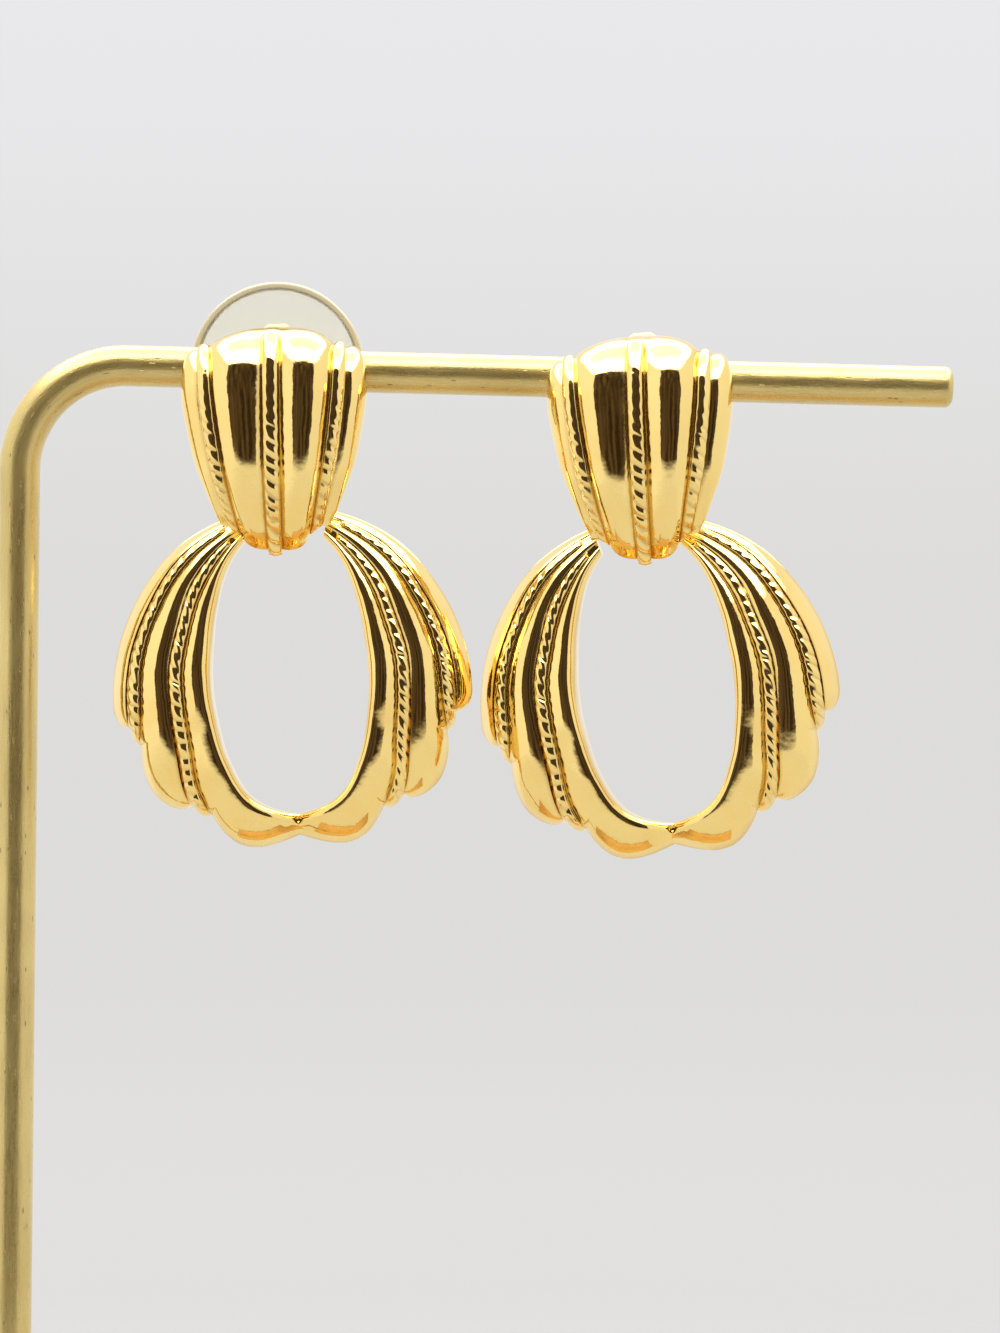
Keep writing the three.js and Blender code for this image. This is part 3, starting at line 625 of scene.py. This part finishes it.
def bar_point(x):
    """The middle of the bar at a length x from the rod's upright."""
    sunk = (x - ROD["bend"]) * math.tan(math.radians(ROD["droop"]))
    return Vector((ROD["x"] + x, 0, ROD["height"] - sunk))


def rod_mesh(skin):
    """The rod, as rings along its middle: the upright, the bend and the bar with its rounded end."""
    radius, height, bend = ROD["radius"], ROD["height"], ROD["bend"]
    reach, chamfer = ROD["reach"], ROD["chamfer"]
    over = 90 + ROD["droop"]
    foot = BASE["thickness"] - BASE["socket"] + GAP
    # Each ring has its x, its z, how far it is turned over from the upright, and its radius.
    line = [(0, foot, 0, 0), (0, foot, 0, radius - chamfer), (0, foot + chamfer, 0, radius)]
    for z in np.linspace(foot + 1, height - bend - 0.5, 30):
        line.append((0, z, 0, radius))
    for turn in np.linspace(0, over, 40):
        line.append((bend - bend * cos(turn), height - bend + bend * sin(turn), turn, radius))
    for x in np.linspace(bend + 1.5, reach - chamfer - 0.05, 40):
        line.append((x, bar_point(x).z, over, radius))
    for a in (0, 15, 40, 65, 85):
        x = reach - chamfer + chamfer * sin(a)
        line.append((x, bar_point(x).z, over, radius - chamfer + chamfer * cos(a)))
    line.append((reach, bar_point(reach).z, over, 0))
    around = np.linspace(0, 360, ROD["sides"], endpoint=False)
    rings = []
    for x, z, turn, size in line:
        rings.append(np.stack([
            ROD["x"] + x + size * cos(around) * cos(turn),
            size * sin(around),
            z - size * cos(around) * sin(turn),
        ], axis=-1))
    skin.grid(np.array(rings), wrap=True)


# ---------------------------------------------------------------- node graphs

class Graph:
    """Short calls for building a tree of shader nodes."""

    def __init__(self, tree):
        self.tree = tree

    def node(self, kind, inputs=None, **settings):
        """A new node of a kind, with its inputs put in and its settings made."""
        made = self.tree.nodes.new("ShaderNode" + kind)
        for key, value in settings.items():
            setattr(made, key, value)
        for key, value in (inputs or {}).items():
            self.put(made.inputs[key], value)
        return made

    def put(self, socket, value):
        """Links an output to the socket, or sets a plain value on it."""
        if isinstance(value, bpy.types.NodeSocket):
            self.tree.links.new(value, socket)
        else:
            socket.default_value = value

    def math(self, operation, *values, clamp=False):
        """The output of a sum, product or other operation on one to three values."""
        made = self.node("Math", operation=operation, use_clamp=clamp)
        for socket, value in zip(made.inputs, values):
            self.put(socket, value)
        return made.outputs[0]

    def step(self, value, low, high, to_low=0.0, to_high=1.0):
        """A smooth step from to_low to to_high as the value goes from low to high."""
        made = self.node("MapRange", interpolation_type="SMOOTHSTEP")
        for key, item in zip(("Value", "From Min", "From Max", "To Min", "To Max"),
                             (value, low, high, to_low, to_high)):
            self.put(made.inputs[key], item)
        return made.outputs["Result"]

    def mix(self, share, a, b):
        """A colour that goes from a to b as the share goes from 0 to 1."""
        made = self.node("Mix", data_type="RGBA", blend_type="MIX")
        self.put(made.inputs["Factor"], share)
        self.put(made.inputs["A"], a)
        self.put(made.inputs["B"], b)
        return made.outputs["Result"]

    def noise(self, coordinates, scale, detail=2.0, stretch=(1, 1, 1), rough=0.5):
        """Soft noise, stretched along the axes."""
        mapped = self.node("Mapping", {"Vector": coordinates, "Scale": stretch}).outputs[0]
        inputs = {"Vector": mapped, "Scale": scale, "Detail": detail, "Roughness": rough}
        return self.node("TexNoise", inputs).outputs["Fac"]

    def vectors(self, operation, a, b):
        """The sum or product of two vectors."""
        return self.node("VectorMath", {0: a, 1: b}, operation=operation).outputs[0]


def material(name, **sockets):
    """A material with its uniform values set on the shader, its graph, and the shader itself."""
    made = bpy.data.materials.new(name)
    made.use_nodes = True
    shader = made.node_tree.nodes["Principled BSDF"]
    for key, value in sockets.items():
        shader.inputs[key.replace("_", " ")].default_value = value
    return made, Graph(made.node_tree), shader


def bump(graph, shader, layers):
    """Adds height layers, each a height from 0 to 1 and its size in mm, as one chain of bumps."""
    normal = None
    for height, size in layers:
        inputs = {"Height": height, "Distance": size * MM, "Strength": 1.0}
        if normal:
            inputs["Normal"] = normal
        normal = graph.node("Bump", inputs).outputs[0]
    graph.put(shader.inputs["Normal"], normal)


# ---------------------------------------------------------------- materials

def gold_material():
    """Bright polished plate, a little uneven from the casting, with painted shade and some tarnish
    darkening its grooves.
    """
    made, g, shader = material("polished_gold", Metallic=1.0)
    spot = g.node("TexCoord").outputs["Object"]
    groove = g.node("Attribute", attribute_name="groove").outputs["Fac"]
    clouds = g.noise(spot, 260, 3)
    grain = g.noise(spot, 2600, 2)
    worn = g.step(clouds, 0.42, 0.68)
    clean = g.mix(worn, (0.985, 0.735, 0.27, 1), (0.96, 0.69, 0.235, 1))
    # Painted shade: the grooves are darkened and reddened in patches, partly as tarnish and partly in
    # place of their shade. They are also made rougher.
    tarnish_and_shade = g.math("MULTIPLY", groove, g.step(clouds, 0.25, 0.6, 0.35, 1.0))
    g.put(shader.inputs["Base Color"], g.mix(g.math("MULTIPLY", tarnish_and_shade, 0.6), clean, (0.5, 0.32, 0.1, 1)))
    rough = g.step(grain, 0.35, 0.75, 0.05, 0.09)
    g.put(shader.inputs["Roughness"], g.math("ADD", rough, g.math("MULTIPLY", tarnish_and_shade, 0.16)))
    waves = g.noise(spot, 330, 1)
    dimples = g.noise(spot, 1100, 2)
    bump(g, shader, [(waves, 0.12), (dimples, 0.018)])
    return made


def brass_material(name, light, dark, rough):
    """Satin brass under lacquer, streaked along its length, with small pits and stains."""
    made, g, shader = material(name, Metallic=0.8, Coat_Weight=0.5, Coat_Roughness=0.2)
    coordinates = g.node("TexCoord").outputs
    spot = coordinates["Object"]
    clouds = g.noise(spot, 120, 4)
    grain = g.noise(spot, 3000, 3)
    # The normal goes round the rod and the spot along it, so together they unroll its surface.
    slid = g.vectors("MULTIPLY", spot, (60, 60, 60))
    streaks = g.noise(g.vectors("ADD", coordinates["Normal"], slid), 5, 5, rough=0.7)
    short = g.vectors("MULTIPLY", spot, (220, 220, 220))
    nicked = g.vectors("ADD", coordinates["Normal"], short)
    cells = g.node("TexVoronoi", {"Vector": nicked, "Scale": 4.0, "Randomness": 1.0})
    some = g.step(cells.outputs["Color"], 0.7, 0.73)
    pits = g.math("MULTIPLY", g.step(cells.outputs["Distance"], 0.1, 0.24, 1.0, 0.0), some)
    cloudy = g.step(clouds, 0.35, 0.7, 0.0, 0.6)
    tone = g.math("ADD", cloudy, g.step(streaks, 0.5, 0.7, 0.0, 0.5), clamp=True)
    clean = g.mix(tone, light, dark)
    stained = g.math("MULTIPLY", pits, 0.75)
    g.put(shader.inputs["Base Color"], g.mix(stained, clean, (0.24, 0.16, 0.07, 1)))
    g.put(shader.inputs["Roughness"], g.step(streaks, 0.35, 0.65, *rough))
    bump(g, shader, [(grain, 0.006), (streaks, 0.02), (g.math("SUBTRACT", 1.0, pits), 0.03)])
    return made


def plastic_material():
    """Milky clear plastic, slightly yellowed, denser in its rim, with faint moulding flow."""
    made, g, shader = material("milky_plastic", IOR=1.46)
    spot = g.node("TexCoord").outputs["Object"]
    rim = g.node("Attribute", attribute_name="groove").outputs["Fac"]
    flow = g.noise(spot, 300, 3, (1, 1, 0.5))
    clear = g.mix(flow, (0.92, 0.91, 0.82, 1), (0.89, 0.87, 0.76, 1))
    g.put(shader.inputs["Base Color"], g.mix(rim, clear, (0.6, 0.54, 0.37, 1)))
    g.put(shader.inputs["Transmission Weight"], g.step(rim, 0.0, 1.0, 0.86, 0.15))
    g.put(shader.inputs["Roughness"], g.step(flow, 0.3, 0.7, 0.16, 0.26))
    bump(g, shader, [(flow, 0.01)])
    return made


GOLD = gold_material()
BRASS = brass_material("satin_brass", (0.7, 0.54, 0.2, 1), (0.57, 0.42, 0.14, 1), (0.24, 0.36))
BASE_BRASS = brass_material(
    "brushed_brass", (0.3, 0.185, 0.062, 1), (0.25, 0.15, 0.046, 1), (0.45, 0.55),
)
PLASTIC = plastic_material()


# ---------------------------------------------------------------- pieces

def finish_piece(obj, node, body, finish):
    """Gives a piece its material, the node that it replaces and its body."""
    obj.data.materials.clear()
    obj.data.materials.append(finish)
    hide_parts(node)
    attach(obj, body)


def spin(degrees, axis):
    """A rotation about an axis of the frame."""
    return Matrix.Rotation(math.radians(degrees), 4, axis)


def dress_stud_and_drop(side, hung, spec):
    """One earring's stud and its drop. hung is the middle of the stud's back, with its axes."""
    name = side + "_stud_fine"
    stud = shaped(name, hung @ spin(spec["twist"], "Y"), stud_mesh, stud_fittings)
    finish_piece(stud, side + "_stud", "stand", GOLD)
    hinged = (
        hung
        @ Matrix.Translation((spec["slide"], HINGE["y"], HINGE["z"]))
        @ spin(-spec["tilt"], "Y")
        @ Matrix.Translation((0, -HINGE["y"], -HINGE["z"]))
    )
    drop = shaped(side + "_drop_fine", hinged, drop_mesh)
    finish_piece(drop, side + "_drop", side + "_drop", GOLD)


def dress_clutch(side, place, spec, turned):
    """The clutch behind the bar, after its disc if it has one. place has the post's axes."""
    behind = ROD["radius"] + GAP + (DISC["radius"] if spec["disc"] else CLUTCH["width"] / 2) * turned
    if spec["disc"]:
        spot = place @ Matrix.Translation((0, behind, DISC["raised"]))
        disc = shaped(side + "_clutch_disc_fine", spot, disc_mesh)
        finish_piece(disc, side + "_clutch_disc", "stand", PLASTIC)
        behind += DISC["rim"] + GAP
    spot = place @ Matrix.Translation((0, behind, 0))
    clutch = shaped(side + "_clutch_fine", spot, clutch_mesh)
    cut(clutch, [bore(CLUTCH["hole"], -2, 0.6, (0, 0, 0), (0, 1, 0), spot)])
    finish_piece(clutch, side + "_clutch", "stand", GOLD)


def dress_earring(spec):
    """One earring in its place on the bar."""
    turned = abs(sin(spec["yaw"]))
    standoff = ROD["radius"] + GAP + STUD["half"].max() * turned
    place = (
        Matrix.Translation(bar_point(spec["x"]))
        @ spin(spec["yaw"], "Z")
        @ spin(-spec["lean"], "Y")
    )
    dress_stud_and_drop(spec["side"], place @ Matrix.Translation((0, -standoff, 0)), spec)
    dress_clutch(spec["side"], place, spec, turned)


def dress_rod():
    """The rod, drilled across for each post."""
    rod = shaped("stand_rod_fine", None, rod_mesh, crease=30)
    bores = []
    for spec in EARRINGS:
        across = (-sin(spec["yaw"]), cos(spec["yaw"]), 0)
        bores.append(bore(POST["radius"] + GAP, -4, 4, bar_point(spec["x"]), across))
    cut(rod, bores)
    finish_piece(rod, "stand_rod", "stand", BRASS)


for spec in EARRINGS:
    dress_earring(spec)
dress_rod()

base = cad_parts["stand_base"]
base.data.materials.clear()
base.data.materials.append(BASE_BRASS)

# ---------------------------------------------------------------- floor, light and camera

def studio_floor():
    """A pale floor that fades into the backdrop at its edge."""
    data = bpy.data.meshes.new("floor")
    data.from_pydata([(-1, -1, 0), (1, -1, 0), (1, 1, 0), (-1, 1, 0)], [], [(0, 1, 2, 3)])
    made = bpy.data.objects.new("floor", data)
    bpy.context.scene.collection.objects.link(made)
    made.location.z = -FLOOR["sunk"]
    finish, g, shader = material("floor_pale", Roughness=0.85, Specular_IOR_Level=0.2)
    spot = g.node("TexCoord").outputs["Object"]
    stained = tuple(c * FLOOR["stain"] for c in FLOOR["tint"][:3]) + (1,)
    g.put(shader.inputs["Base Color"], g.mix(g.noise(spot, 9, 3), FLOOR["tint"], stained))
    far = g.node("VectorMath", {0: spot}, operation="LENGTH").outputs["Value"]
    fade = g.step(far, *FLOOR["fade"])
    see_through = g.node("BsdfTransparent").outputs[0]
    joined = g.node("MixShader", {0: fade, 1: shader.outputs[0], 2: see_through})
    g.put(g.tree.nodes["Material Output"].inputs["Surface"], joined.outputs[0])
    data.materials.append(finish)


def studio_world():
    """The inside of a small white light box, open to the front, round a plain backdrop."""
    made = bpy.data.worlds.new("studio")
    made.use_nodes = True
    bpy.context.scene.world = made
    g = Graph(made.node_tree)
    back = made.node_tree.nodes["Background"]
    facing = g.node("TexCoord").outputs["Generated"]
    x, y, z = g.node("SeparateXYZ", {0: facing}).outputs
    side = g.math("DIVIDE", g.math("ABSOLUTE", x), BOX["width"])
    front = g.math("MULTIPLY", y, -1.0)
    up = g.math("MAXIMUM", g.math("DIVIDE", z, BOX["ceiling"]), g.math("DIVIDE", z, -BOX["floor"]))
    beyond = g.math("SUBTRACT", front, g.math("MAXIMUM", side, up))
    below = g.math("SUBTRACT", front, g.math("DIVIDE", z, -BOX["floor"]))
    opening = g.math("MULTIPLY", g.step(beyond, 0.0, BOX["soft"]), g.step(below, 0.0, BOX["sill"]))
    plain_walls = g.step(z, -0.3, 0.6, BOX["wall_low"], BOX["wall_high"])
    walls = g.math("ADD", plain_walls, g.step(z, 0.7, 0.8, 0.0, BOX["glow"]))
    walls = g.math("MULTIPLY", walls, g.step(x, -0.8, -0.2, BOX["left"], 1.0))
    white = g.node("CombineColor", {0: walls, 1: walls, 2: walls}).outputs[0]
    streak = g.noise(facing, 5, 2, (1, 1, 0.25))
    gloom = g.step(streak, 0.36, 0.66, BOX["dark"], BOX["dark"] * BOX["glint"])
    green, blue = (g.math("MULTIPLY", gloom, share) for share in BOX["brown"])
    brown = g.node("CombineColor", {0: gloom, 1: green, 2: blue}).outputs[0]
    lit = g.mix(opening, white, brown)
    plain = g.mix(g.step(z, -0.13, -0.06), BACKDROP["low"], BACKDROP["middle"])
    plain = g.mix(g.step(z, 0.0, 0.16), plain, BACKDROP["high"])
    seen = g.node("LightPath").outputs["Is Camera Ray"]
    g.put(back.inputs["Color"], g.mix(seen, lit, plain))


def light_ring():
    """A soft square light over the object, dimmer in its middle."""
    data = bpy.data.lights.new("ring", "AREA")
    data.shape = "SQUARE"
    data.size = RING["size"]
    data.energy = RING["radiance"] * math.pi * RING["size"] ** 2
    data.color = RING["colour"]
    data.use_nodes = True
    g = Graph(data.node_tree)
    place = g.node("NewGeometry").outputs["Parametric"]
    x, y, _ = g.node("SeparateXYZ", {0: place}).outputs
    right, ahead = (g.math("ABSOLUTE", g.math("MULTIPLY_ADD", value, 2.0, -1.0)) for value in (x, y))

    def rounded(half_across, half_deep):
        """The distance from the middle of a rounded rectangle, 1 on its edge."""
        powers = [g.math("POWER", g.math("DIVIDE", value, half), 4.0)
                  for value, half in ((right, half_across), (ahead, half_deep))]
        return g.math("POWER", g.math("ADD", *powers), 0.25)

    edge = g.step(rounded(1.0, 1.0), 0.85, 1.0, 1.0, 0.0)
    middle = g.step(rounded(*RING["hole"]), 0.75, 1.2, RING["dim"], 1.0)
    lamp = g.tree.nodes["Emission"]
    g.put(lamp.inputs["Strength"], g.math("MULTIPLY", edge, middle))
    made = bpy.data.objects.new("ring", data)
    made.location = (0, 0, RING["height"])
    made.visible_camera = False
    bpy.context.scene.collection.objects.link(made)


def level_camera():
    """A level camera in front of the object, with a slight roll."""
    data = bpy.data.cameras.new("camera")
    data.sensor_fit = "AUTO"
    data.sensor_width = CAMERA["sensor"]
    data.lens = CAMERA["sensor"] * CAMERA["away"] / CAMERA["tall"]
    made = bpy.data.objects.new("camera", data)
    bpy.context.scene.collection.objects.link(made)
    made.location = (CAMERA["x"], -CAMERA["away"], CAMERA["z"])
    made.rotation_euler = (math.pi / 2, 0, 0)
    made.rotation_euler.rotate_axis("Z", math.radians(CAMERA["roll"]))
    bpy.context.scene.camera = made


studio_floor()
studio_world()
light_ring()
level_camera()
bpy.context.scene.view_settings.view_transform = "Standard"
